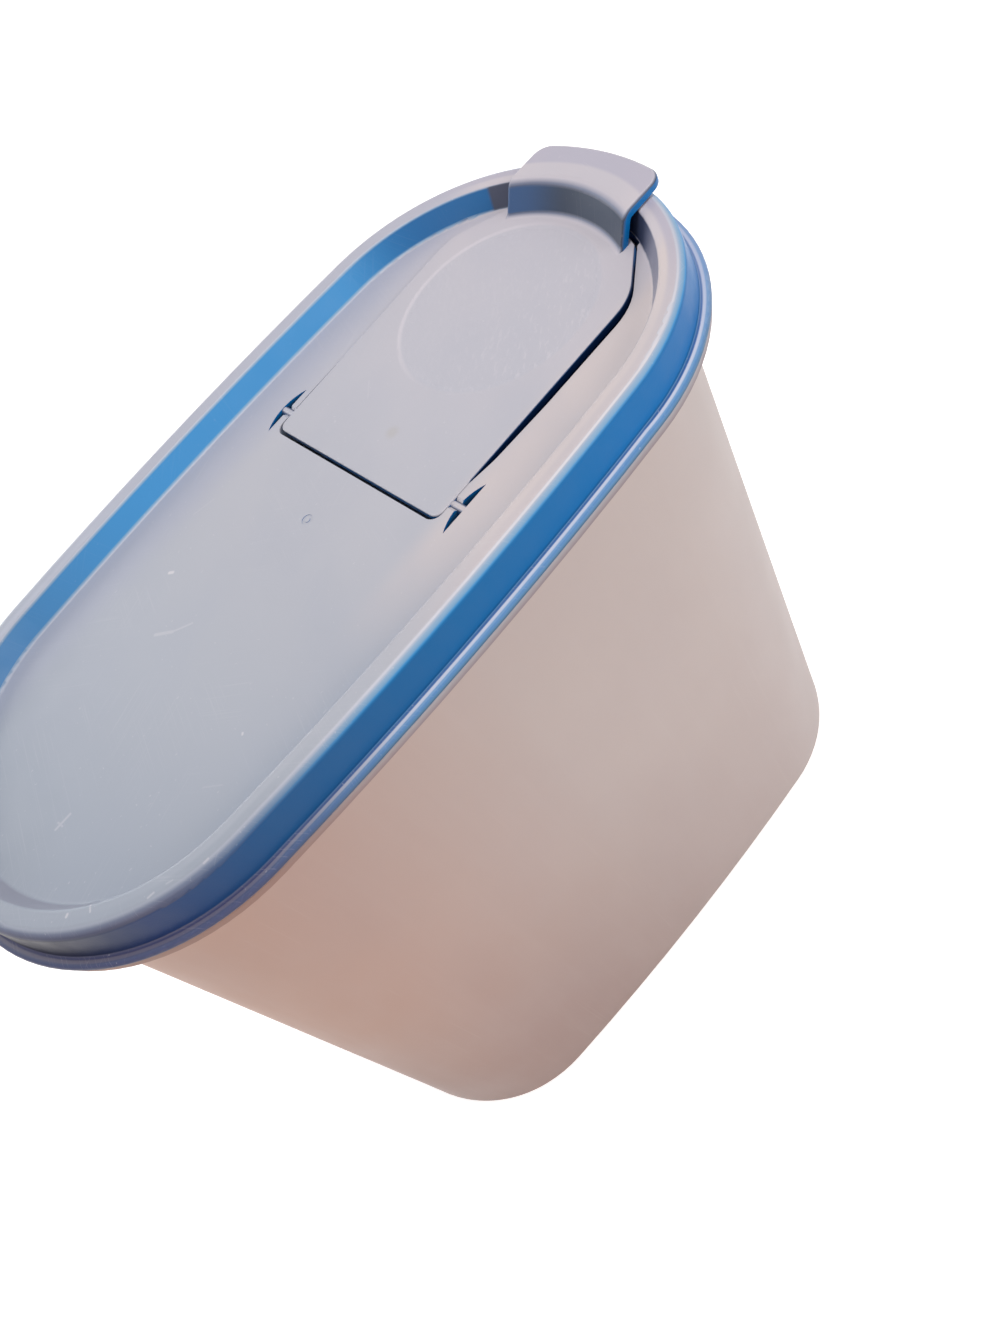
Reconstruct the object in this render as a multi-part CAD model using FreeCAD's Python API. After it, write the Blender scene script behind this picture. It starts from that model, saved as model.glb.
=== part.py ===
import FreeCAD, Part
import math
import os

from FreeCAD import Vector

# Oval dry-food storage container with a push-on seal and a flip-top pouring flap.
# Millimetres. The origin is the centre of the base, +X runs along the length to the pouring end, +Z is up.
# Three separate mouldings: the container, the seal pressed on its neck, and the flap that turns in the seal.
#
# Every ring of the object follows one oval of four tangent arcs. A section is written as points of
# (offset, height, corner radius). Offset is how far outside the oval the point lies, and mostly negative.
# Height is above the base for the container, and above the rim's crest for the seal and the flap.

# --- the oval: the outermost line of the seal's lip ---
LENGTH = 190.0
WIDTH = 98.7
END_RADIUS = 47.85          # the two round ends; the long sides are slightly bowed
RIM_HEIGHT = 171.5          # base to the crest of the seal's rim

# --- container ---
WALL = 1.6
FLOOR = 1.8
WALL_OFFSET = -6.9          # outside of the wall, just under the collar
WALL_TAPER = 4.1            # how much narrower each side is at the base
BASE_ROUND = 3.0
COLLAR_OFFSET = -0.6
COLLAR_LOW = RIM_HEIGHT - 12.4
COLLAR_TOP = RIM_HEIGHT - 10.4
COLLAR_FILLET = 2.5         # fillet between the wall and the collar's underside
NECK_OUTER = -4.4           # the thin upright neck that the seal's rim closes over
NECK_INNER = -6.3
NECK_TOP = RIM_HEIGHT - 2.0
LEDGE_TOP = COLLAR_TOP + 1.2        # the slope inside, between the wall and the neck
LEDGE_LOW = COLLAR_TOP - 0.8

# --- seal ---
CREST_THICKNESS = RIM_HEIGHT - NECK_TOP
SKIRT_LOW = -10.1
SKIRT_WALL = 1.6
LIP_TOP = -8.8
SKIRT_OFFSET = -2.0         # outside of the skirt, just above the lip
SHOULDER_OFFSET = -2.45     # the same near the crest
SHOULDER_ROUND = 2.0
CREST_INNER = -7.3
PANEL_TOP = -4.7            # the sunk panel, below the crest
PANEL_OFFSET = -9.7         # foot of the rim's inner wall
PANEL_THICKNESS = 1.5
RING_REACH = -20.0          # how far in the swept ring goes, before the flat plate takes over
FLOOR_REACH = -22.0

# --- flap, drawn shut and flush, then lifted a little about the hinge to where it rests ---
FLAP_LIFT = 0.75            # degrees
FLAP_REAR = 13.0
FLAP_REAR_SIDE = 26.25      # half-width at the hinge
FLAP_REAR_ROUND = 2.0
FLAP_SHOULDER = 68.2        # where the side turns towards the tab
FLAP_SHOULDER_SIDE = 26.7
FLAP_SHOULDER_ROUND = 12.5
FLAP_NOSE = 84.6
SLANT = 37.3                # degrees between the flap's sides and its slanted front edges
FLAP_THICKNESS = 1.6
FLAP_EDGE_ROUND = 0.25
FLAP_TOP = PANEL_TOP + 0.1
FLAP_LOW = FLAP_TOP - FLAP_THICKNESS
FLAP_FRONT_TRIM = 3.0       # how far the plate runs on under the tab's riser

# --- thumb tab, which rises from the flap's front and reaches over the rim ---
TAB_HALF_WIDTH = 16.9
TAB_CORNER = 4.0
TAB_EDGE_ROUND = 0.7
TAB_TIP = 94.3
TAB_TIP_RADIUS = 66.0
TAB_TOP = 1.3
TAB_TIP_TOP = 1.0
TAB_LOW = -0.45
TAB_FOOT = -13.9            # offset where the riser meets the flap's face
TAB_HEAD = -10.2            # offset where the riser's line meets the tab's face
TAB_ROOT = TAB_FOOT - 1.7
TAB_FOOT_ROUND = 1.8
TAB_HEAD_ROUND = 2.6
RISER_THICKNESS = 1.7
TAB_SIDE_GAP = 1.0

# --- hinge ---
PIVOT_X = 17.2
PIVOT_HEIGHT = -5.8
PIN_RADIUS = 0.95
PIN_CLEARANCE = 0.05
PIN_END = 30.8              # half-distance between the outer ends of the two pins
BARREL_RADIUS = 1.15
SLOT_NEAR = 28.15           # the lens-shaped slot beside each spring strap: its two long edges
SLOT_FAR = 29.85
SLOT_HALF_LENGTH = 6.0
SLOT_FLOOR = -7.4
MOUTH_WIDTH = 1.6           # the pin's seat is open above, a little narrower than the pin
MOUTH_FLARE = 2.8
MOUTH_HEIGHT = 0.6          # of the narrow place, above the hinge's axis
BLOCK_HALF_LENGTH = 7.8
BLOCK_OUTER = 31.7

# --- the sunk well under the flap, and the pouring hole ---
WELL_REAR = 12.05
WELL_REAR_ROUND = 2.4
STRAP_SIDE = 26.45          # half-width between the spring straps
STRAP_END = 21.7            # from here on the slit on the near side widens
SLIT_BEND = (28.0, 27.4, 25.0)        # the slit's outer edge on the near side: x, half-width, corner radius
SLIT_FULL = (42.0, 27.95, 60.0)
WELL_SHOULDER = 66.9        # where the well's near side turns towards the tab
FAR_GAP = 0.35              # the flap lies close to the well's far side
WELL_SHOULDER_ROUND = 14.0
WELL_FLOOR = -7.7
WELL_THICKNESS = 1.4
TAB_WELL_START = 60.0
TROUGH_RADIUS = 5.4         # room for the flap's tail as it turns
POUR_X = 57.5
POUR_RADIUS = 21.5
POUR_COLLAR = 1.6
COLLAR_GAP = 0.3
PLUG_CLEARANCE = 0.4
PLUG_WALL = 1.4
PLUG_LOW = -9.6
RELIEF_X = 57.0             # the round dished field on the flap's face, with a soft sloping edge
RELIEF_RADIUS = 22.4
RELIEF_EDGE = 1.6
RELIEF_DEPTH = 0.15
GATE_RADIUS = 1.2           # the moulding mark in the middle of the panel
GATE_DEPTH = 0.1

UP = Vector(0, 0, 1)
HALF_LENGTH = LENGTH / 2
HALF_WIDTH = WIDTH / 2
END_X = HALF_LENGTH - END_RADIUS
SIDE_RADIUS = (END_X**2 + HALF_WIDTH**2 - END_RADIUS**2) / (2 * (HALF_WIDTH - END_RADIUS))
SIDE_Y = SIDE_RADIUS - HALF_WIDTH
LEAN = math.degrees(math.atan2(END_X, SIDE_Y))

# centre x, centre y, radius, first angle and sweep of each arc, in degrees, going round from the pouring end
OVAL_ARCS = (
    (END_X, 0, END_RADIUS, LEAN - 90, 180 - 2 * LEAN),
    (0, -SIDE_Y, SIDE_RADIUS, 90 - LEAN, 2 * LEAN),
    (-END_X, 0, END_RADIUS, 90 + LEAN, 180 - 2 * LEAN),
    (0, SIDE_Y, SIDE_RADIUS, 270 - LEAN, 2 * LEAN),
)


def arc_edge(arc, offset):
    """One arc of the oval, drawn at an offset."""
    x, y, radius, first, sweep = arc
    reach = radius + offset
    points = []
    for share in (0, 0.5, 1):
        angle = math.radians(first + share * sweep)
        points.append(Vector(x + reach * math.cos(angle), y + reach * math.sin(angle), 0))
    return Part.Arc(*points).toShape()


def oval_plate(offset, low, high):
    """A flat oval plate."""
    face = Part.Face(Part.Wire([arc_edge(arc, offset) for arc in OVAL_ARCS]))
    face.translate(Vector(0, 0, low))
    return face.extrude(Vector(0, 0, high - low))


def rounded_outline(corners):
    """Closed wire through (point, radius) corners, each rounded by its radius."""
    count = len(corners)
    bends = []
    for i, (here, radius) in enumerate(corners):
        if not radius:
            bends.append((here, None, here))
            continue
        back = (corners[i - 1][0] - here).normalize()
        ahead = (corners[(i + 1) % count][0] - here).normalize()
        half = back.getAngle(ahead) / 2
        inward = (back + ahead).normalize()
        reach = radius / math.tan(half)
        middle = here + inward * (radius / math.sin(half) - radius)
        bends.append((here + back * reach, middle, here + ahead * reach))
    edges = []
    for i, (start, middle, end) in enumerate(bends):
        if middle is not None:
            edges.append(Part.Arc(start, middle, end).toShape())
        edges.append(Part.LineSegment(end, bends[(i + 1) % count][0]).toShape())
    return Part.Wire(edges)


def swept(section, arc):
    """A section carried along one arc of the oval."""
    x, y, radius, first, sweep = arc
    corners = [(Vector(radius + offset, 0, height), bend) for offset, height, bend in section]
    face = Part.Face(rounded_outline(corners))
    face.rotate(Vector(), UP, first)
    face.translate(Vector(x, y, 0))
    return face.revolve(Vector(x, y, 0), UP, sweep)


def ring(section):
    """A section carried right round the oval."""
    pieces = [swept(section, arc) for arc in OVAL_ARCS]
    return pieces[0].fuse(pieces[1:])


def raised(section):
    """A section whose heights count from the rim's crest, with them turned into heights above the base."""
    return [(offset, RIM_HEIGHT + height, bend) for offset, height, bend in section]


def box(low, high):
    """A box between two corners, whose heights count from the rim's crest."""
    size = [b - a for a, b in zip(low, high)]
    return Part.makeBox(*size, Vector(low[0], low[1], RIM_HEIGHT + low[2]))


def post(x, radius, low, high):
    """An upright cylinder on the centre line, whose heights count from the rim's crest."""
    return Part.makeCylinder(radius, high - low, Vector(x, 0, RIM_HEIGHT + low), UP)


def pivot_rod(radius, start, end):
    """A rod on the hinge's axis, from one y to another."""
    place = Vector(PIVOT_X, start, RIM_HEIGHT + PIVOT_HEIGHT)
    return Part.makeCylinder(radius, end - start, place, Vector(0, 1, 0))


def prism(outline, low, high):
    """A wire drawn at height 0, made into a solid between two heights that count from the rim's crest."""
    face = Part.Face(outline)
    face.translate(Vector(0, 0, RIM_HEIGHT + low))
    return face.extrude(Vector(0, 0, high - low))


def both_sides(solid):
    """A solid with its mirror image across the object's long centre plane."""
    return [solid, solid.mirror(Vector(), Vector(0, 1, 0))]


def joined(first, *others):
    """One solid from several, with the seams between equal surfaces removed."""
    return first.fuse(list(others)).removeSplitter()


def two_sided_outline(near, far):
    """Closed wire through the (x, half-width, radius) corners of each side, listed from rear to front."""
    ahead = [(Vector(x, -y, 0), radius) for x, y, radius in near]
    back = [(Vector(x, y, 0), radius) for x, y, radius in reversed(far)]
    return rounded_outline(ahead + back)


def slant_end(x, side):
    """Where a slanted front edge that starts at a shoulder reaches the nose."""
    return FLAP_NOSE, side - (FLAP_NOSE - x) * math.tan(math.radians(SLANT)), 0


def flap_outline():
    """The flap's plan: a square rear, sides that widen a little, and slanted front edges beside the tab."""
    side = [
        (FLAP_REAR, FLAP_REAR_SIDE, FLAP_REAR_ROUND),
        (FLAP_SHOULDER, FLAP_SHOULDER_SIDE, FLAP_SHOULDER_ROUND),
        slant_end(FLAP_SHOULDER, FLAP_SHOULDER_SIDE),
    ]
    return two_sided_outline(side, side)


def well_outline(grow):
    """The well's plan, grown all round: close to the flap, but for the slit along its near side."""
    rear = (WELL_REAR - grow, STRAP_SIDE + grow, WELL_REAR_ROUND + grow)
    bend_x, bend_side, bend_round = SLIT_BEND
    full_x, full_side, full_round = SLIT_FULL
    turn = math.tan(math.radians(SLANT / 2))
    near_side = full_side + grow
    near_shoulder = WELL_SHOULDER + grow * turn
    near = [
        rear,
        (STRAP_END, STRAP_SIDE + grow, 0),
        (bend_x, bend_side + grow, bend_round),
        (full_x, near_side, full_round),
        (near_shoulder, near_side, WELL_SHOULDER_ROUND + grow),
        slant_end(near_shoulder, near_side),
    ]
    far_side = FLAP_SHOULDER_SIDE + FAR_GAP + grow
    far_shoulder = FLAP_SHOULDER + (FAR_GAP + grow) * turn
    far = [
        rear,
        (far_shoulder, far_side, FLAP_SHOULDER_ROUND + FAR_GAP + grow),
        slant_end(far_shoulder, far_side),
    ]
    return two_sided_outline(near, far)


def make_container():
    """The hollow body: floor, tapering wall, outward collar and the upright neck."""
    base_offset = WALL_OFFSET - WALL_TAPER
    inner_top = WALL_OFFSET - WALL
    section = [
        (FLOOR_REACH, 0, 0),
        (base_offset, 0, BASE_ROUND),
        (WALL_OFFSET, COLLAR_LOW, COLLAR_FILLET),
        (COLLAR_OFFSET, COLLAR_LOW, 0.4),
        (COLLAR_OFFSET, COLLAR_TOP, 0.5),
        (NECK_OUTER, COLLAR_TOP, 0.4),
        (NECK_OUTER, NECK_TOP, 0.5),
        (NECK_INNER, NECK_TOP, 0.5),
        (NECK_INNER, LEDGE_TOP, 0.8),
        (inner_top, LEDGE_LOW, 1.0),
        (base_offset - WALL, FLOOR, BASE_ROUND - WALL / 2),
        (FLOOR_REACH, FLOOR, 0),
    ]
    return joined(ring(section), oval_plate(FLOOR_REACH, 0, FLOOR))


def make_seal_shell():
    """The seal before anything is cut: the hooked rim and the sunk panel."""
    panel_low = PANEL_TOP - PANEL_THICKNESS
    section = raised([
        (SKIRT_OFFSET - SKIRT_WALL, SKIRT_LOW, 0.3),
        (0, SKIRT_LOW, 0.5),
        (0, LIP_TOP, 0.7),
        (SKIRT_OFFSET, LIP_TOP + 0.1, 0.5),
        (SHOULDER_OFFSET, 0, SHOULDER_ROUND),
        (CREST_INNER, 0, 0.9),
        (PANEL_OFFSET, PANEL_TOP, 1.0),
        (RING_REACH, PANEL_TOP, 0),
        (RING_REACH, panel_low, 0),
        (PANEL_OFFSET + 0.7, panel_low, 0.5),
        (NECK_INNER - 0.4, -CREST_THICKNESS, 0.3),
        (NECK_OUTER + 0.4, -CREST_THICKNESS, 0.3),
    ])
    return joined(ring(section), oval_plate(RING_REACH, RIM_HEIGHT + panel_low, RIM_HEIGHT + PANEL_TOP))


def within_rim(solid, offset):
    """What of a solid lies inside the oval at an offset."""
    return solid.common(oval_plate(offset, 0, RIM_HEIGHT + 20))


def make_hinge_blocks():
    """The block under the panel beside each end of the hinge."""
    block = box(
        (PIVOT_X - BLOCK_HALF_LENGTH, STRAP_SIDE, WELL_FLOOR - WELL_THICKNESS),
        (PIVOT_X + BLOCK_HALF_LENGTH, BLOCK_OUTER, PANEL_TOP - PANEL_THICKNESS / 2),
    )
    return both_sides(block)


def make_hinge_cuts():
    """What is cut from the blocks: two lens-shaped slots and the pins' seats, open above."""
    ends = [Vector(PIVOT_X + way * SLOT_HALF_LENGTH, SLOT_NEAR, 0) for way in (-1, 1)]
    crown = Vector(PIVOT_X, SLOT_FAR, 0)
    bow = Part.Arc(ends[0], crown, ends[1]).toShape()
    lens = Part.Wire([bow, Part.LineSegment(ends[1], ends[0]).toShape()])
    slot = prism(lens, SLOT_FLOOR, 0)
    other_slot = slot.copy()
    other_slot.translate(Vector(0, -SLOT_NEAR - SLOT_FAR, 0))
    bore = pivot_rod(PIN_RADIUS + PIN_CLEARANCE, FLAP_REAR_SIDE, PIN_END + 2 * PIN_CLEARANCE)
    narrow, wide = MOUTH_WIDTH / 2, MOUTH_FLARE / 2
    top = -PIVOT_HEIGHT
    profile = [(-narrow, 0), (-narrow, MOUTH_HEIGHT), (-wide, -PIVOT_HEIGHT + PANEL_TOP), (-wide, top)]
    profile += [(-across, height) for across, height in reversed(profile)]
    axis_height = RIM_HEIGHT + PIVOT_HEIGHT
    corners = [Vector(PIVOT_X + across, FLAP_REAR_SIDE, axis_height + height) for across, height in profile]
    mouth = Part.Face(Part.makePolygon(corners + corners[:1]))
    mouth = mouth.extrude(Vector(0, SLOT_NEAR + 0.1 - FLAP_REAR_SIDE, 0))
    return [slot, other_slot] + both_sides(bore) + both_sides(mouth)


def make_seal():
    """The push-on seal with its sunk well, pouring hole, tail trough and hinge seats."""
    well_low = WELL_FLOOR - WELL_THICKNESS
    overlap = PANEL_TOP - PANEL_THICKNESS / 2
    wall = WELL_THICKNESS
    tab_side = TAB_HALF_WIDTH + TAB_SIDE_GAP
    tab_well = box((TAB_WELL_START, -tab_side, WELL_FLOOR), (HALF_LENGTH, tab_side, 0))
    tab_body = box((TAB_WELL_START, -tab_side - wall, well_low), (HALF_LENGTH, tab_side + wall, overlap))

    body = prism(well_outline(wall), well_low, overlap).fuse(tab_body)
    body = within_rim(body, PANEL_OFFSET + wall)
    trough_body = pivot_rod(TROUGH_RADIUS + wall, -STRAP_SIDE - wall, STRAP_SIDE + wall)
    trough_body = trough_body.common(box((0, -HALF_WIDTH, -30), (HALF_LENGTH, HALF_WIDTH, overlap)))
    pour_body = post(POUR_X, POUR_RADIUS + POUR_COLLAR, well_low, FLAP_LOW - COLLAR_GAP)

    well = within_rim(prism(well_outline(0), WELL_FLOOR, 0).fuse(tab_well), PANEL_OFFSET)
    trough = pivot_rod(TROUGH_RADIUS, -STRAP_SIDE, STRAP_SIDE).common(prism(well_outline(0), -20, 0))

    seal = make_seal_shell().fuse([body, trough_body] + make_hinge_blocks())
    seal = seal.cut([well, trough]).fuse(pour_body)
    gate = post(0, GATE_RADIUS, PANEL_TOP - GATE_DEPTH, 0).cut(post(0, GATE_RADIUS / 2, -20, 0))
    return seal.cut([post(POUR_X, POUR_RADIUS, -20, 0), gate] + make_hinge_cuts()).removeSplitter()


def with_rounded_rim(tab):
    """The tab with its upper edges rounded along both sides and round the tip."""
    edges = []
    for edge in tab.Edges:
        middle = edge.valueAt((edge.FirstParameter + edge.LastParameter) / 2)
        on_side = abs(middle.y) > TAB_HALF_WIDTH - 0.01
        at_tip = middle.x > TAB_TIP - TAB_CORNER and abs(edge.Vertexes[0].Z - edge.Vertexes[-1].Z) < 0.3
        inward = (Vector(END_X, 0, middle.z) - middle).normalize()
        just_above = middle + inward * 0.3 + UP * 0.2
        clear_of_plate = middle.z > RIM_HEIGHT + FLAP_TOP + 0.05
        if (on_side or at_tip) and clear_of_plate and not tab.isInside(just_above, 0.01, True):
            edges.append(edge)
    return tab.makeFillet(TAB_EDGE_ROUND, edges)


def make_tab():
    """The riser and the thumb tab, which follow the round end and are trimmed to the tab's plan."""
    drop = (TAB_TOP - FLAP_TOP) / (TAB_HEAD - TAB_FOOT)
    back = RISER_THICKNESS * math.hypot(1, drop) / drop     # the same thickness, measured level
    beyond = 3.0                # the sweep runs on past the tip and is then trimmed to the plan

    def back_offset(height):
        return TAB_FOOT + (height - FLAP_TOP) / drop + back

    section = raised([
        (TAB_ROOT, FLAP_TOP, 0),
        (TAB_FOOT, FLAP_TOP, TAB_FOOT_ROUND),
        (TAB_HEAD, TAB_TOP, TAB_HEAD_ROUND),
        (beyond, TAB_TIP_TOP, 0),
        (beyond, TAB_LOW, 0),
        (back_offset(TAB_LOW), TAB_LOW, 0.9),
        (back_offset(FLAP_LOW), FLAP_LOW, 0),
        (TAB_ROOT, FLAP_LOW, 0),
    ])
    tab = swept(section, OVAL_ARCS[0])
    plan = box((TAB_WELL_START, -TAB_HALF_WIDTH, -20), (LENGTH, TAB_HALF_WIDTH, 20))
    plan = plan.common(post(TAB_TIP - TAB_TIP_RADIUS, TAB_TIP_RADIUS, -20, 20))
    corners = [
        edge for edge in plan.Edges
        if abs(edge.tangentAt(edge.FirstParameter).z) > 0.99 and edge.CenterOfMass.x > TAB_WELL_START + 1
    ]
    plan = plan.makeFillet(TAB_CORNER, corners)
    return with_rounded_rim(tab.common(plan))


def make_plate():
    """The flap's flat plate with its round dished field."""
    plate = prism(flap_outline(), FLAP_LOW, FLAP_TOP)
    top_edges = [edge for edge in plate.Edges if edge.BoundBox.ZMin > RIM_HEIGHT + FLAP_TOP - 0.01]
    plate = plate.makeFillet(FLAP_EDGE_ROUND, top_edges)
    front = END_RADIUS + TAB_FOOT + FLAP_FRONT_TRIM
    keep = box((0, -HALF_WIDTH, -20), (END_X, HALF_WIDTH, 20)).fuse(post(END_X, front, -20, 20))
    plate = plate.common(keep)
    place = Vector(RELIEF_X, 0, RIM_HEIGHT + FLAP_TOP - RELIEF_DEPTH)
    return plate.cut(Part.makeCone(RELIEF_RADIUS - RELIEF_EDGE, RELIEF_RADIUS, RELIEF_DEPTH, place, UP))


def make_flap():
    """The pouring flap: plate, tab, hinge barrel with its two pins, and the plug that closes the hole."""
    barrel = pivot_rod(BARREL_RADIUS, -FLAP_REAR_SIDE, FLAP_REAR_SIDE)
    pins = pivot_rod(PIN_RADIUS, -PIN_END, PIN_END)
    plug_radius = POUR_RADIUS - PLUG_CLEARANCE
    plug = post(POUR_X, plug_radius, PLUG_LOW, FLAP_LOW + 0.2).cut(
        post(POUR_X, plug_radius - PLUG_WALL, PLUG_LOW, FLAP_LOW)
    )
    flap = joined(make_plate(), make_tab(), barrel, pins, plug)
    flap.rotate(Vector(PIVOT_X, 0, RIM_HEIGHT + PIVOT_HEIGHT), Vector(0, -1, 0), FLAP_LIFT)
    return flap


def main():
    os.makedirs("parts", exist_ok=True)
    for name, make in (("container", make_container), ("seal", make_seal), ("flap", make_flap)):
        shape = make()
        solid = shape.Solids[0]
        print(f"{name}: {len(shape.Solids)} solid, valid {shape.isValid()},", end=" ")
        print(f"{solid.Volume / 1000:.1f} cm3,", end=" ")
        bounds = solid.BoundBox
        print(f"x {bounds.XMin:.2f} {bounds.XMax:.2f}, y {bounds.YMin:.2f} {bounds.YMax:.2f},", end=" ")
        print(f"z {bounds.ZMin:.2f} {bounds.ZMax:.2f}")
        solid.exportStep(os.path.join("parts", name + ".step"))


main()
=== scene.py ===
import bpy
import math

from mathutils import Matrix, Vector


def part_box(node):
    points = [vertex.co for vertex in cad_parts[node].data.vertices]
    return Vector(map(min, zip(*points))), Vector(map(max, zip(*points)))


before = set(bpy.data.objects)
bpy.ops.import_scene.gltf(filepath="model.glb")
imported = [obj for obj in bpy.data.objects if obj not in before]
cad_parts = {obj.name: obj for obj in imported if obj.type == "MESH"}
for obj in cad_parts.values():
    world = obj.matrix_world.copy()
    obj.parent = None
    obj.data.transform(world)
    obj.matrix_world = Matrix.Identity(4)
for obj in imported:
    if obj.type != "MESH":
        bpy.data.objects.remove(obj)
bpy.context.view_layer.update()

# --- places taken from the frame, in metres ---
MM = 0.001
SEAL_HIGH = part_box("seal")[1]
CREST = SEAL_HIGH.z
PANEL = CREST - 4.7 * MM            # the sunk panel's face
BEAD_TOP = CREST - 8.8 * MM         # top of the lip at the foot of the seal's skirt
BEAD_LOW = CREST - 10.1 * MM
COLLAR_LOW = CREST - 12.4 * MM      # underside of the container's collar
END_RADIUS = 47.85 * MM             # the lip's outermost line: its round ends, their centres
END_X = SEAL_HIGH.x - END_RADIUS
BOW = SEAL_HIGH.y - END_RADIUS      # and how far its long sides bow out past them
WELL_OFFSET = -9.75 * MM            # the sunk parts lie this far inside that line
RELIEF_X = 57.0 * MM                # middle of the flap's round dished field
RELIEF_RADIUS = 22.2 * MM
HINGE_X = 17.2 * MM
FLAP_RISE = math.tan(math.radians(0.75))    # the flap's face rises this much along its length

# --- camera: where the eye is, the way it looks, and its roll ---
EYE = Vector((-0.03036, -0.17561, 0.31154))
AIM = Vector((0.00976, -0.00556, 0.100))
ROLL = math.radians(-39.23)
LENS_MM = 31.82
SENSOR_MM = 36.0

# --- surroundings ---
WORLD_STRENGTH = 0.29
FLOOR_COLOUR = (0.62, 0.58, 0.56, 1)
FLOOR_REACH = 3.0                   # from the middle to each side
FLOOR_LIFT = 0.8                    # how much whiter the floor is seen than it is lit


def srgb(red, green, blue):
    """A colour given in display values of 0 to 255, as the shaders take it."""
    linear = [((v / 255 + 0.055) / 1.055) ** 2.4 if v > 10 else v / 255 / 12.92 for v in (red, green, blue)]
    return (*linear, 1.0)


# --- painted sheen: the pale glare on the seal's upper faces along its length, from the end away from the flap ---
PAINTED_SHEEN = (
    (-88 * MM, srgb(157, 164, 176)),
    (-70 * MM, srgb(164, 171, 183)),
    (-40 * MM, srgb(180, 184, 194)),
    (0 * MM, srgb(193, 193, 201)),
    (30 * MM, srgb(199, 197, 205)),
    (80 * MM, srgb(209, 201, 207)),
)
# the blue of the skirt's outside along the length, with painted shade darkening it to near black at the end
# away from the flap and a painted sheen paling it at the tab end
BAND_LIGHT_AND_SHADE = (
    (-94 * MM, srgb(22, 20, 26)),
    (-84 * MM, srgb(22, 28, 54)),
    (-70 * MM, srgb(34, 60, 112)),
    (-45 * MM, srgb(24, 86, 142)),
    (0 * MM, srgb(8, 107, 172)),
    (45 * MM, srgb(8, 118, 190)),
    (71 * MM, srgb(4, 114, 186)),
    (82 * MM, srgb(90, 142, 200)),
    (94 * MM, srgb(176, 180, 206)),
)
# the blue plastic with a painted sheen that pales it as a face looks further up, from upright to level
SLOPE_SHEEN = (
    (0.30, srgb(24, 114, 178)),
    (0.455, srgb(66, 148, 208)),
    (0.57, srgb(118, 165, 203)),
    (0.78, srgb(150, 178, 206)),
    (0.88, srgb(180, 190, 208)),
    (0.94, srgb(198, 200, 212)),
)
# the same with painted shade, for the end away from the flap
SLOPE_SHADED_END = (
    (0.20, srgb(66, 72, 100)),
    (0.50, srgb(84, 90, 118)),
    (0.80, srgb(118, 126, 150)),
    (0.94, srgb(154, 162, 178)),
)
# the lip's upright face, from its lower edge to its top, with painted shade that darkens it downwards
BEAD_SHADE = (
    (BEAD_LOW, srgb(34, 66, 96)),
    (BEAD_LOW + 0.3 * MM, srgb(54, 94, 130)),
    (BEAD_TOP - 0.5 * MM, srgb(92, 136, 174)),
)
# its flat top, from the skirt outwards: painted shade in the corner by the skirt, then a painted highlight
# line
LEDGE_HIGHLIGHT = (
    (-2.0 * MM, srgb(22, 70, 130)),
    (-1.6 * MM, srgb(40, 100, 164)),
    (-1.35 * MM, srgb(226, 226, 236)),
    (-0.95 * MM, srgb(214, 218, 232)),
    (-0.7 * MM, srgb(128, 168, 206)),
    (-0.3 * MM, srgb(90, 138, 188)),
)
# painted shade: the dark blue of the slits, the sunk well and the lip's corner
SHADE_BLUE = srgb(8, 36, 76)
# painted sheen: the pale grey in the rear groove
GROOVE_SHEEN = srgb(166, 176, 190)
# painted shade: the darker blue inside the hinge slots
SLOT_SHADE = srgb(40, 96, 140)
PALE_MARK = srgb(226, 222, 226)
STAIN = srgb(186, 180, 172)

# marks on the seal's and the flap's face, in millimetres: start, end, half-width and strength
MARKS = (
    ((-35.2, 10.4), (-32.6, 7.2), 0.55, 0.35),
    ((-32.6, 7.2), (-29.0, 4.6), 0.35, 0.3),
    ((-72.5, -6.0), (-68.8, -6.1), 0.4, 0.35),
    ((-71.4, -5.2), (-71.2, -6.8), 0.3, 0.3),
    ((-24.3, 20.3), (-23.8, 19.6), 0.55, 0.9),
    ((-38.0, -25.6), (-37.8, -25.4), 0.35, 0.7),
    ((-78.5, -27.9), (-78.1, -27.7), 0.40, 0.6),
    ((-75.0, -31.3), (-74.3, -30.2), 0.28, 0.5),
    ((-66.6, -39.0), (-65.4, -39.2), 0.30, 0.4),
    ((-63.0, -40.0), (-61.9, -40.5), 0.25, 0.25),
    ((-56.6, -43.1), (-55.6, -43.2), 0.28, 0.4),
    ((-49.0, -27.0), (-46.5, -30.0), 0.25, 0.15),
    ((-12.0, 27.5), (-7.0, 26.0), 0.25, 0.15),
    ((27.5, 11.0), (31.0, 14.5), 0.25, 0.15),
)


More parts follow.
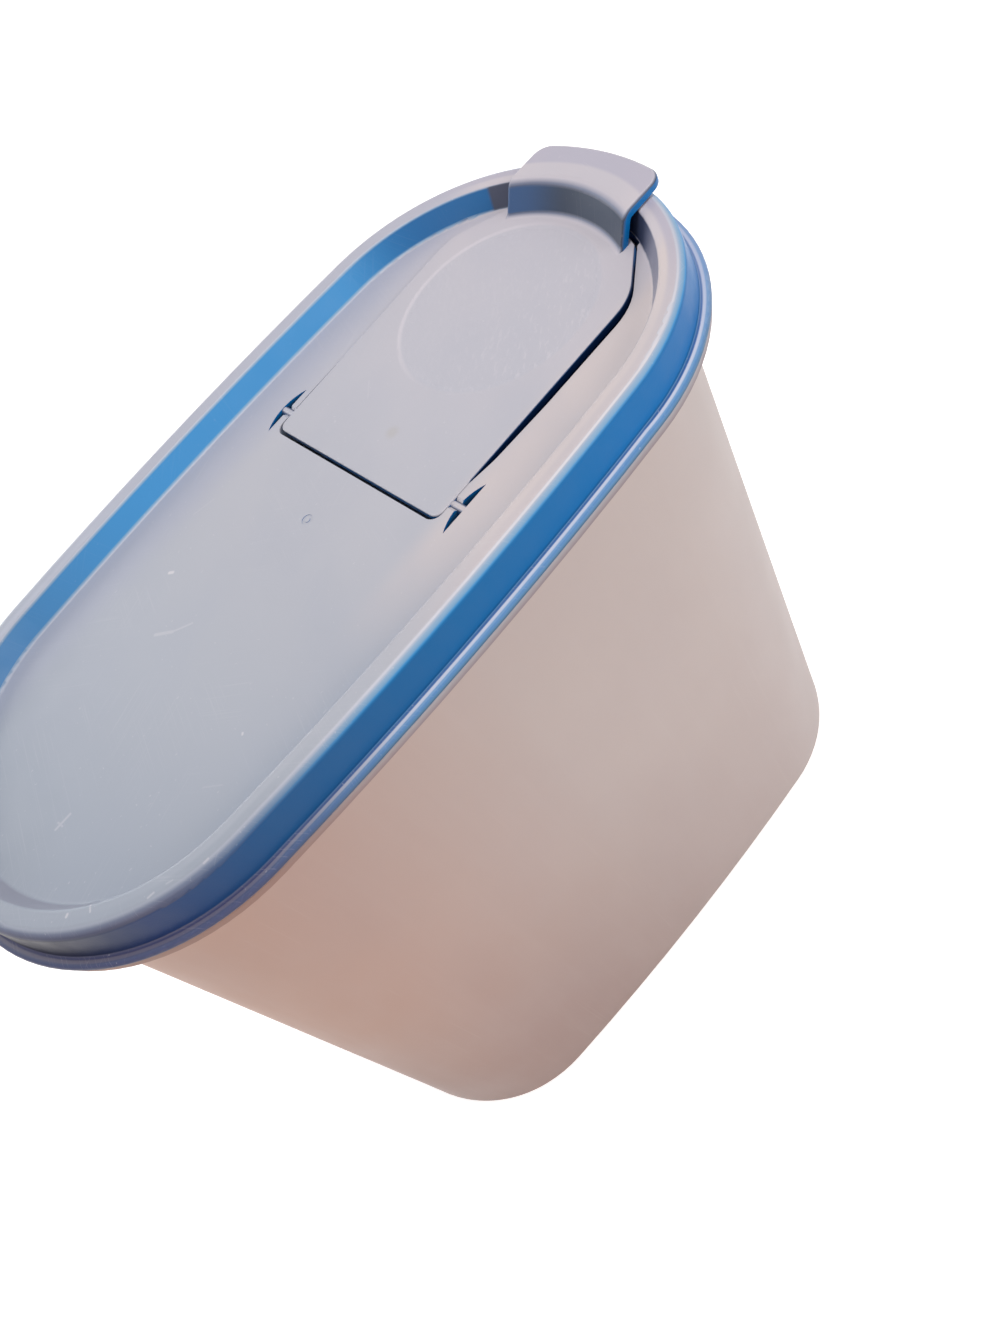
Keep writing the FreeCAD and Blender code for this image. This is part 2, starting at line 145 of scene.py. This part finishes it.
class Graph:
    """Short ways to add shader nodes to one material. A value is a number, a colour or a node's output."""

    def __init__(self, name):
        self.material = bpy.data.materials.new(name)
        self.material.use_nodes = True
        self.nodes = self.material.node_tree.nodes
        self.links = self.material.node_tree.links
        self.shader = self.nodes["Principled BSDF"]
        where = self.nodes.new("ShaderNodeTexCoord")
        self.place = where.outputs["Object"]
        self.x, self.y, self.z = self.split(self.place)
        self.facing_x, self.facing_y, self.facing_z = self.split(where.outputs["Normal"])

    def put(self, socket, value):
        if isinstance(value, bpy.types.NodeSocket):
            self.links.new(value, socket)
        else:
            socket.default_value = value

    def split(self, vector):
        node = self.nodes.new("ShaderNodeSeparateXYZ")
        self.put(node.inputs[0], vector)
        return node.outputs

    def math(self, operation, *values):
        node = self.nodes.new("ShaderNodeMath")
        node.operation = operation
        for socket, value in zip(node.inputs, values):
            self.put(socket, value)
        return node.outputs[0]

    def vector_math(self, operation, *values):
        node = self.nodes.new("ShaderNodeVectorMath")
        node.operation = operation
        for socket, value in zip(node.inputs, values):
            self.put(socket, value)
        return node

    def product(self, *values):
        result = values[0]
        for value in values[1:]:
            result = self.math("MULTIPLY", result, value)
        return result

    def largest(self, *values):
        result = values[0]
        for value in values[1:]:
            result = self.math("MAXIMUM", result, value)
        return result

    def rise(self, value, start, end, smooth=True):
        """0 up to start and 1 from end on; start may be the larger one."""
        node = self.nodes.new("ShaderNodeMapRange")
        node.interpolation_type = "SMOOTHSTEP" if smooth else "LINEAR"
        self.put(node.inputs["Value"], value)
        node.inputs["From Min"].default_value = start
        node.inputs["From Max"].default_value = end
        return node.outputs[0]

    def mix(self, share, first, second, kind="MIX"):
        node = self.nodes.new("ShaderNodeMix")
        node.data_type = "RGBA"
        node.blend_type = kind
        self.put(node.inputs[0], share)
        self.put(node.inputs[6], first)
        self.put(node.inputs[7], second)
        return node.outputs[2]

    def ramp(self, value, stops):
        """Colours at the real values of the stops, blended between them."""
        low, high = stops[0][0], stops[-1][0]
        node = self.nodes.new("ShaderNodeValToRGB")
        elements = node.color_ramp.elements
        elements[0].color = stops[0][1]
        elements[1].color = stops[-1][1]
        for place, colour in stops[1:-1]:
            elements.new((place - low) / (high - low)).color = colour
        self.links.new(self.rise(value, low, high, smooth=False), node.inputs[0])
        return node.outputs[0]

    def noise(self, size, turn=0, detail=2, distortion=0):
        """Noise around 0.5 whose features are as large as size, in metres along x, y and z."""
        mapping = self.nodes.new("ShaderNodeMapping")
        mapping.vector_type = "TEXTURE"
        self.links.new(self.place, mapping.inputs["Vector"])
        mapping.inputs["Rotation"].default_value = (0, 0, math.radians(turn))
        mapping.inputs["Scale"].default_value = size
        node = self.nodes.new("ShaderNodeTexNoise")
        self.links.new(mapping.outputs[0], node.inputs["Vector"])
        node.inputs["Scale"].default_value = 1
        node.inputs["Detail"].default_value = detail
        node.inputs["Distortion"].default_value = distortion
        return node.outputs[0]

    def scratches(self, length, width, turn, share):
        """1 on fine straight scratches that run one way and come in patches; share is how few there are."""
        line = self.noise((length, width, 1), turn, detail=0)
        patch = self.rise(self.noise((0.02, 0.02, 0.02), turn, detail=1), 0.5, 0.66)
        return self.product(self.rise(line, share, share + 0.08), patch)

    def stroke(self, start, end, half_width, strength):
        """A mark between two places on a level face: strength along its middle, fading to 0 at its edge."""
        flat = self.vector_math("MULTIPLY", self.place, (1, 1, 0)).outputs[0]
        along = Vector((end[0] - start[0], end[1] - start[1], 0)) * MM
        offset = self.vector_math("SUBTRACT", flat, (start[0] * MM, start[1] * MM, 0)).outputs[0]
        unit = tuple(along / along.length_squared)
        reach = self.vector_math("DOT_PRODUCT", offset, unit).outputs["Value"]
        step = self.vector_math("SCALE", tuple(along))
        self.put(step.inputs["Scale"], self.rise(reach, 0, 1, smooth=False))
        gap = self.vector_math("SUBTRACT", offset, step.outputs[0]).outputs[0]
        distance = self.vector_math("LENGTH", gap).outputs["Value"]
        return self.product(self.rise(distance, half_width * MM, 0.3 * half_width * MM), strength)

    def distance(self, x, y):
        """How far a point is from an upright line."""
        across = self.math("SUBTRACT", self.x, x)
        along = self.math("SUBTRACT", self.y, y)
        return self.math("SQRT", self.math("ADD", self.product(across, across), self.product(along, along)))

    def oval_offset(self):
        """How far outside the lip's outermost line a point lies, seen from above; inside it is negative."""
        along = self.math("DIVIDE", self.math("ABSOLUTE", self.x), END_X)
        beyond = self.math("MAXIMUM", self.math("MULTIPLY", self.math("SUBTRACT", along, 1), END_X), 0)
        squares = self.math("ADD", self.product(beyond, beyond), self.product(self.y, self.y))
        span = self.math("SQRT", squares)
        bow = self.math("MAXIMUM", self.math("SUBTRACT", 1, self.product(along, along)), 0)
        return self.math("SUBTRACT", self.math("SUBTRACT", span, END_RADIUS), self.product(bow, BOW))

    def bump(self, height, depth):
        """Relief: height runs from 0 to 1, and depth is that whole range in metres."""
        node = self.nodes.new("ShaderNodeBump")
        node.inputs["Strength"].default_value = 1
        node.inputs["Distance"].default_value = depth
        self.put(node.inputs["Height"], height)
        self.links.new(node.outputs[0], self.shader.inputs["Normal"])


def lid_wear(graph):
    """Fine scratches in three directions and the listed marks, as one value from 0 to 1."""
    fine = [graph.scratches(0.018, 0.00022, turn, 0.68) for turn in (18, 71, 128)]
    marks = [graph.stroke(*mark) for mark in MARKS]
    specks = graph.rise(graph.noise((0.0007, 0.0007, 0.0007), detail=0), 0.80, 0.86)
    return graph.largest(graph.product(graph.largest(*fine), 0.10), graph.product(specks, 0.25), *marks)


def level_sheen(graph):
    """The painted sheen of the faces that look up, a pale glare over the blue, cooler at one end and along
    the far side.
    """
    offset = graph.oval_offset()
    sheen = graph.ramp(graph.x, PAINTED_SHEEN)
    # painted sheen, cooler along the far side and warmer near the flap on the near side
    sheen = graph.mix(graph.product(graph.rise(graph.y, 0.024, 0.034), 0.5), sheen, srgb(178, 181, 200))
    near_flap = graph.product(graph.rise(graph.y, -0.024, -0.030), graph.rise(graph.x, -0.02, 0.03))
    sheen = graph.mix(near_flap, sheen, srgb(218, 206, 205))
    # on the crest the painted sheen is warmer near the flap and cooler and darker at the tab end
    on_crest = graph.rise(offset, -6 * MM, -5 * MM)
    sheen = graph.mix(graph.product(on_crest, near_flap, 0.6), sheen, srgb(206, 196, 200))
    tab_end = graph.product(on_crest, graph.rise(graph.x, 0.060, 0.085), 0.9)
    sheen = graph.mix(tab_end, sheen, srgb(190, 184, 198))
    # painted shade on the crest towards the end away from the flap
    crest_end_shade = graph.product(on_crest, graph.rise(graph.x, -0.02, -0.06), 0.6)
    sheen = graph.mix(crest_end_shade, sheen, srgb(156, 163, 176))
    # random cloudy patches in the painted sheen
    clouds = graph.noise((0.03, 0.022, 0.02), turn=30, detail=3)
    return graph.mix(graph.product(graph.rise(clouds, 0.35, 0.7), 0.16), sheen, srgb(170, 176, 192))


def satin_finish(graph, wear, extra=0):
    """Roughness and relief of the lid's plastic: satin, finely grained and a little wavy."""
    grain = graph.noise((0.0004, 0.0004, 0.0004), detail=2)
    waves = graph.noise((0.012, 0.012, 0.012), detail=1)
    patchy = graph.noise((0.006, 0.006, 0.006), detail=3)
    roughness = graph.math("MULTIPLY_ADD", graph.rise(patchy, 0.2, 0.8), 0.14, 0.30)
    roughness = graph.math("MULTIPLY_ADD", wear, 0.2, roughness)
    graph.links.new(roughness, graph.shader.inputs["Roughness"])
    relief = graph.math("MULTIPLY_ADD", grain, 0.10, graph.product(waves, 0.5))
    relief = graph.math("MULTIPLY_ADD", wear, -0.12, relief)
    graph.bump(graph.math("ADD", relief, extra), 0.12 * MM)
    graph.shader.inputs["Specular IOR Level"].default_value = 0.25


def finish_lid(graph, colour, extra=0):
    """Lay the wear over the colour and give the plastic its satin surface."""
    wear = lid_wear(graph)
    seen = graph.product(wear, graph.rise(graph.facing_z, 0.3, 0.8), 0.8)
    graph.links.new(graph.mix(seen, colour, PALE_MARK), graph.shader.inputs["Base Color"])
    satin_finish(graph, wear, extra)


def seal_base_colour(graph):
    """Blue where a face is steep and a painted sheen where it is level, with painted shade at the end away
    from the flap.
    """
    up = graph.facing_z
    offset = graph.oval_offset()
    outside = graph.rise(offset, -5 * MM, -3 * MM)
    share = graph.math("MULTIPLY_ADD", outside, 0.55, 0.45)
    # painted shade towards the end away from the flap, stronger on the outside
    end_shade = graph.product(graph.rise(graph.x, -0.010, -0.072), share)
    slope = graph.mix(end_shade, graph.ramp(up, SLOPE_SHEEN), graph.ramp(up, SLOPE_SHADED_END))
    colour = graph.mix(graph.rise(up, 0.12, 0.34), graph.ramp(graph.x, BAND_LIGHT_AND_SHADE), slope)
    # painted sheen for the rim's inside, greyer where a face looks up less
    pale_sheen = graph.mix(graph.rise(up, 0.5, 0.9), srgb(160, 162, 176), level_sheen(graph))

    # a painted highlight: a white line along the crest's outer shoulder, which fades towards the shaded end
    line = graph.product(graph.rise(up, 0.86, 0.93), graph.rise(up, 0.985, 0.955), outside)
    line = graph.product(line, graph.rise(graph.x, -0.035, 0.040), graph.rise(graph.x, 0.086, 0.058), 0.7)
    colour = graph.mix(line, colour, srgb(242, 234, 234))

    # inside the rim, the two ends and the near side's upper edge get the panel's painted sheen
    above_panel = graph.rise(graph.z, PANEL - 0.2 * MM, PANEL)
    inside = graph.product(graph.rise(offset, -5 * MM, -6 * MM), above_panel)
    across = graph.rise(graph.facing_y, -0.55, -0.2)
    at_ends = graph.product(across, graph.rise(graph.math("ABSOLUTE", graph.x), 0.050, 0.062))
    near_edge = graph.product(graph.rise(graph.facing_y, 0.0, 0.15), graph.rise(up, 0.48, 0.6))
    colour = graph.mix(graph.product(inside, graph.largest(at_ends, near_edge)), colour, pale_sheen)

    # painted shade makes the same wall a deeper blue towards the tab, and a painted grey reflection lies
    # along the near side of that end
    far_wall_shade = graph.product(inside, graph.rise(graph.x, 0.045, 0.068), graph.rise(up, 0.8, 0.5), 0.65)
    colour = graph.mix(far_wall_shade, colour, srgb(28, 84, 146))
    near_wall_reflection = graph.product(inside, graph.rise(graph.x, 0.042, 0.058), graph.rise(graph.y, -0.010, -0.020))
    near_wall_reflection = graph.product(near_wall_reflection, graph.rise(up, 0.92, 0.6), 0.85)
    colour = graph.mix(near_wall_reflection, colour, srgb(146, 144, 158))

    # right beside the tab the wall gets painted shadow; turn is the slope of the line from the round end's
    # centre
    turn = graph.math("DIVIDE", graph.y, graph.math("SUBTRACT", graph.x, END_X))
    wall = graph.product(graph.rise(graph.x, 70 * MM, 72 * MM), graph.rise(up, 0.85, 0.6), inside)
    far_shade = graph.product(wall, graph.rise(turn, 0.74, 0.70), graph.rise(turn, 0.0, 0.1), 0.85)
    near_shade = graph.product(wall, graph.rise(turn, -0.85, -0.50), graph.rise(turn, 0.0, -0.1), 0.9)
    colour = graph.mix(far_shade, colour, srgb(86, 82, 90))
    colour = graph.mix(near_shade, colour, srgb(50, 62, 92))
    # faces that look up get the painted sheen
    return graph.mix(graph.rise(up, 0.955, 0.992), colour, level_sheen(graph))


def seal_material():
    graph = Graph("lid_blue_seal")
    up = graph.facing_z
    colour = seal_base_colour(graph)

    # the lip, with a thin line of painted shade in the corner above it, a painted highlight on its top and
    # painted shade down its face
    offset = graph.oval_offset()
    low = graph.rise(graph.z, BEAD_TOP + 1.0 * MM, BEAD_TOP + 0.4 * MM)
    corner_shade = graph.product(low, graph.rise(up, 0.5, 0.3), graph.rise(graph.x, -0.07, -0.02), 0.45)
    colour = graph.mix(corner_shade, colour, SHADE_BLUE)
    on_top = graph.rise(graph.z, BEAD_TOP - 0.5 * MM, BEAD_TOP - 0.25 * MM)
    bead_light_and_shade = graph.mix(on_top, graph.ramp(graph.z, BEAD_SHADE), graph.ramp(offset, LEDGE_HIGHLIGHT))
    # painted shade on the lip towards the end away from the flap, and a painted sheen at the tab end
    bead_light_and_shade = graph.mix(graph.product(graph.rise(graph.x, -0.01, -0.06), 0.85), bead_light_and_shade, srgb(72, 66, 98))
    bead_light_and_shade = graph.mix(graph.product(graph.rise(graph.x, 0.06, 0.09), 0.5), bead_light_and_shade, srgb(150, 166, 202))
    colour = graph.mix(graph.rise(graph.z, BEAD_TOP + 0.5 * MM, BEAD_TOP + 0.1 * MM), colour, bead_light_and_shade)

    # the sunk well and its slits: painted sheen at their upper edge and painted shade below
    at_lid_end = graph.rise(graph.x, 8 * MM, 9 * MM)
    within = graph.product(graph.rise(offset, WELL_OFFSET, WELL_OFFSET - 0.4 * MM), at_lid_end)
    by_straps = graph.rise(graph.math("ABSOLUTE", graph.y), 28.15 * MM, 28.0 * MM)
    edge = graph.product(within, by_straps, graph.rise(graph.z, PANEL + 0.15 * MM, PANEL + 0.05 * MM))
    colour = graph.mix(edge, colour, level_sheen(graph))
    sunk = graph.product(within, graph.rise(graph.z, PANEL - 0.4 * MM, PANEL - 0.7 * MM))
    rear = graph.rise(graph.x, 15 * MM, 13.5 * MM)
    recess_shade = graph.mix(rear, SHADE_BLUE, GROOVE_SHEEN)
    colour = graph.mix(sunk, colour, graph.mix(by_straps, SLOT_SHADE, recess_shade))
    under_flap = graph.product(graph.rise(graph.math("ABSOLUTE", graph.y), 24.5 * MM, 21 * MM), sunk)
    lengthwise = graph.product(graph.rise(graph.x, 15 * MM, 19 * MM), graph.rise(graph.x, 78 * MM, 68 * MM))
    under_flap = graph.product(under_flap, lengthwise)
    colour = graph.mix(under_flap, colour, graph.ramp(graph.x, BAND_LIGHT_AND_SHADE))

    finish_lid(graph, colour)
    return graph.material


def flap_material():
    graph = Graph("lid_blue_flap")
    up = graph.facing_z
    # painted light on the flap's blue: a painted slate reflection on the middle slopes and a painted sheen
    # on faces that look up
    side = srgb(8, 112, 182)
    colour = graph.ramp(up, ((0.15, side), (0.40, srgb(56, 94, 142)), (0.53, srgb(65, 72, 86)),
                             (0.75, srgb(128, 134, 156)), (0.96, srgb(206, 200, 208))))
    # the riser's far part painted bluer, with less of that painted reflection
    riser_far = graph.product(graph.rise(graph.y, 2 * MM, 15 * MM), graph.rise(up, 0.7, 0.55))
    colour = graph.mix(graph.product(riser_far, 0.8), colour, srgb(72, 104, 150))
    colour = graph.mix(graph.rise(up, 0.93, 0.99), colour, level_sheen(graph))

    # the sides get a painted sheen near the face beside the straps, and painted shade in the slit
    upright = graph.product(graph.rise(up, 0.3, 0.1), graph.rise(up, -0.6, -0.2))
    slit_shade = graph.product(graph.rise(graph.z, PANEL + 1.0 * MM, PANEL + 0.6 * MM), upright)
    lengthwise = graph.product(graph.rise(graph.x, 16 * MM, 22 * MM), graph.rise(graph.x, 78 * MM, 74 * MM))
    slit_shade = graph.product(slit_shade, lengthwise)
    colour = graph.mix(slit_shade, colour, SHADE_BLUE)
    face = graph.math("MULTIPLY_ADD", graph.math("SUBTRACT", graph.x, HINGE_X), FLAP_RISE, PANEL + 0.1 * MM)
    depth = graph.math("SUBTRACT", face, graph.z)
    rim_sheen = graph.product(graph.rise(depth, 0.40 * MM, 0.25 * MM), graph.rise(graph.x, 22.5 * MM, 21.5 * MM))
    colour = graph.mix(rim_sheen, colour, level_sheen(graph))

    # the round dished field: scuffed inside, and its edge gets a painted highlight, brightest on its far
    # side
    reach = graph.distance(RELIEF_X, 0)
    level = graph.rise(up, 0.9, 0.97)
    level = graph.product(level, graph.rise(graph.z, PANEL + 1.5 * MM, PANEL + 1.2 * MM))
    inside = graph.product(graph.rise(reach, RELIEF_RADIUS, RELIEF_RADIUS - 0.8 * MM), level)
    outer = graph.rise(reach, RELIEF_RADIUS + 0.7 * MM, RELIEF_RADIUS)
    edge = graph.product(outer, graph.rise(reach, RELIEF_RADIUS - 0.9 * MM, RELIEF_RADIUS - 0.2 * MM))
    colour = graph.mix(graph.product(inside, 0.35), colour, srgb(192, 193, 204))
    # painted highlight on the dished field's edge, strongest on its far side
    lit = graph.math("MULTIPLY_ADD", graph.rise(graph.y, 0, 21 * MM), 0.45, 0.02)
    colour = graph.mix(graph.product(edge, level, lit), colour, srgb(226, 219, 226))
    scuffs = graph.rise(graph.noise((0.0022, 0.0007, 0.002), turn=35, detail=2, distortion=0.4), 0.52, 0.72)
    low_side = graph.math("MULTIPLY_ADD", graph.rise(graph.y, 5 * MM, -22 * MM), 0.75, 0.25)
    scuffs = graph.product(scuffs, inside, low_side)
    colour = graph.mix(graph.product(scuffs, 0.35), colour, srgb(222, 216, 222))
    stain = graph.product(graph.rise(graph.distance(23.5 * MM, -1.5 * MM), 2.2 * MM, 0.4 * MM), level, 0.35)
    colour = graph.mix(stain, colour, STAIN)

    pits = graph.noise((0.0016, 0.0011, 0.0016), turn=35, detail=2)
    finish_lid(graph, colour, graph.product(pits, inside, 0.5))
    return graph.material


def shell_material():
    graph = Graph("frosted_shell")
    # the body's colour along its length, with painted warm light at the end away from the flap
    body_and_warm_light = graph.ramp(graph.x, (
        (-94 * MM, srgb(200, 157, 135)),
        (-50 * MM, srgb(192, 164, 155)),
        (0 * MM, srgb(201, 188, 185)),
        (60 * MM, srgb(207, 196, 194)),
        (94 * MM, srgb(197, 185, 182)),
    ))
    # painted shade low down, more towards the end away from the flap
    low = graph.product(graph.rise(graph.z, 0.11, 0.0), graph.rise(graph.x, 0.10, -0.06), 0.8)
    body_and_warm_light = graph.mix(low, body_and_warm_light, srgb(156, 131, 126))
    clouds = graph.noise((0.035, 0.035, 0.05), detail=4)
    colour = graph.mix(graph.product(graph.rise(clouds, 0.35, 0.7), 0.14), body_and_warm_light, srgb(184, 170, 172))
    streaks = graph.noise((0.004, 0.004, 0.09), detail=3)
    colour = graph.mix(graph.product(graph.rise(streaks, 0.45, 0.75), 0.03), colour, srgb(218, 208, 206))
    # the collar with painted shade on its underside, a painted highlight on its top, and painted warm shade
    # at the end away from the flap
    collar = graph.rise(graph.z, COLLAR_LOW - 0.4 * MM, COLLAR_LOW + 0.2 * MM)
    shade = graph.ramp(graph.z, (
        (COLLAR_LOW, srgb(138, 122, 128)),
        (COLLAR_LOW + 2 * MM, srgb(190, 188, 196)),
    ))
    shade = graph.mix(graph.rise(graph.x, -0.01, -0.06), shade, srgb(154, 122, 112))
    colour = graph.mix(collar, colour, shade)
    rubs = graph.scratches(0.02, 0.0003, 40, 0.70)
    colour = graph.mix(graph.product(rubs, 0.05), colour, srgb(226, 220, 218))
    graph.links.new(colour, graph.shader.inputs["Base Color"])

    frost = graph.noise((0.0005, 0.0005, 0.0005), detail=2)
    patchy = graph.noise((0.012, 0.012, 0.02), detail=3)
    graph.links.new(graph.math("MULTIPLY_ADD", patchy, 0.2, 0.36), graph.shader.inputs["Roughness"])
    waves = graph.noise((0.03, 0.03, 0.05), detail=1)
    graph.bump(graph.math("MULTIPLY_ADD", frost, 0.08, waves), 0.10 * MM)
    graph.shader.inputs["Subsurface Weight"].default_value = 0.25
    graph.shader.inputs["Subsurface Radius"].default_value = (1.0, 0.85, 0.75)
    graph.shader.inputs["Subsurface Scale"].default_value = 4 * MM
    return graph.material


def make_camera():
    camera = bpy.data.cameras.new("camera")
    camera.lens = LENS_MM
    camera.sensor_width = SENSOR_MM
    camera.clip_start = 0.01
    item = bpy.data.objects.new("camera", camera)
    bpy.context.scene.collection.objects.link(item)
    forward = (AIM - EYE).normalized()
    level = forward.cross(Vector((0, 0, 1))).normalized()
    above = level.cross(forward)
    right = level * math.cos(ROLL) + above * math.sin(ROLL)
    top = right.cross(forward)
    item.matrix_world = Matrix.Translation(EYE) @ Matrix((right, top, -forward)).transposed().to_4x4()
    bpy.context.scene.camera = item


def area_lamp(name, place, aim, size, power, colour):
    lamp = bpy.data.lights.new(name, "AREA")
    lamp.shape = "DISK"
    lamp.size = size
    lamp.energy = power
    lamp.color = colour
    item = bpy.data.objects.new(name, lamp)
    item.location = place
    item.rotation_mode = "QUATERNION"
    item.rotation_quaternion = (Vector(aim) - Vector(place)).to_track_quat("-Z", "Y")
    bpy.context.scene.collection.objects.link(item)


def seen_straight(nodes, links):
    """1 for what the camera sees, also in a gloss or through clear plastic, and 0 for the light itself."""
    path = nodes.new("ShaderNodeLightPath")
    value = path.outputs["Is Camera Ray"]
    for kind in ("Is Glossy Ray", "Is Transmission Ray"):
        node = nodes.new("ShaderNodeMath")
        node.operation = "MAXIMUM"
        links.new(value, node.inputs[0])
        links.new(path.outputs[kind], node.inputs[1])
        value = node.outputs[0]
    return value


def make_world():
    """Soft light from all round, and plain white where the camera looks past the floor."""
    world = bpy.data.worlds.new("studio")
    bpy.context.scene.world = world
    world.use_nodes = True
    nodes, links = world.node_tree.nodes, world.node_tree.links
    nodes.clear()
    soft = nodes.new("ShaderNodeBackground")
    soft.inputs["Color"].default_value = (0.93, 0.95, 1.0, 1)
    soft.inputs["Strength"].default_value = WORLD_STRENGTH
    white = nodes.new("ShaderNodeBackground")
    white.inputs["Color"].default_value = (1, 1, 1, 1)
    mix = nodes.new("ShaderNodeMixShader")
    out = nodes.new("ShaderNodeOutputWorld")
    links.new(seen_straight(nodes, links), mix.inputs[0])
    links.new(soft.outputs[0], mix.inputs[1])
    links.new(white.outputs[0], mix.inputs[2])
    links.new(mix.outputs[0], out.inputs[0])


def make_floor():
    """A pale floor, seen so white that little of the object's shadow is left on it."""
    mesh = bpy.data.meshes.new("floor")
    r = FLOOR_REACH
    mesh.from_pydata([(-r, -r, 0), (r, -r, 0), (r, r, 0), (-r, r, 0)], [], [(0, 1, 2, 3)])
    floor = bpy.data.objects.new("floor", mesh)
    bpy.context.scene.collection.objects.link(floor)
    graph = Graph("floor_white")
    shader = graph.shader
    shader.inputs["Base Color"].default_value = FLOOR_COLOUR
    shader.inputs["Roughness"].default_value = 0.9
    seen = seen_straight(graph.nodes, graph.links)
    shader.inputs["Emission Color"].default_value = (1, 1, 1, 1)
    graph.links.new(graph.math("MULTIPLY", seen, FLOOR_LIFT), shader.inputs["Emission Strength"])
    floor.data.materials.append(graph.material)


make_camera()
make_world()
make_floor()
area_lamp("overhead", (0.10, -0.05, 0.95), (0.0, 0, 0.1), 0.35, 2.8, (1, 0.99, 0.98))
area_lamp("front", (0.45, -0.75, 0.45), (0.02, 0, 0.08), 0.7, 3.55, (1, 0.97, 0.95))
area_lamp("back", (-0.30, 0.80, 0.45), (0.0, 0, 0.08), 0.7, 3.0, (0.97, 0.98, 1))
area_lamp("warm_side", (-0.55, -0.45, 0.25), (-0.05, 0, 0.08), 0.5, 0.95, (1, 0.74, 0.56))

FINISHES = {"container": shell_material(), "seal": seal_material(), "flap": flap_material()}
for name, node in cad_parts.items():
    node.data.materials.clear()
    node.data.materials.append(FINISHES[name])

scene = bpy.context.scene
scene.view_settings.view_transform = "Standard"
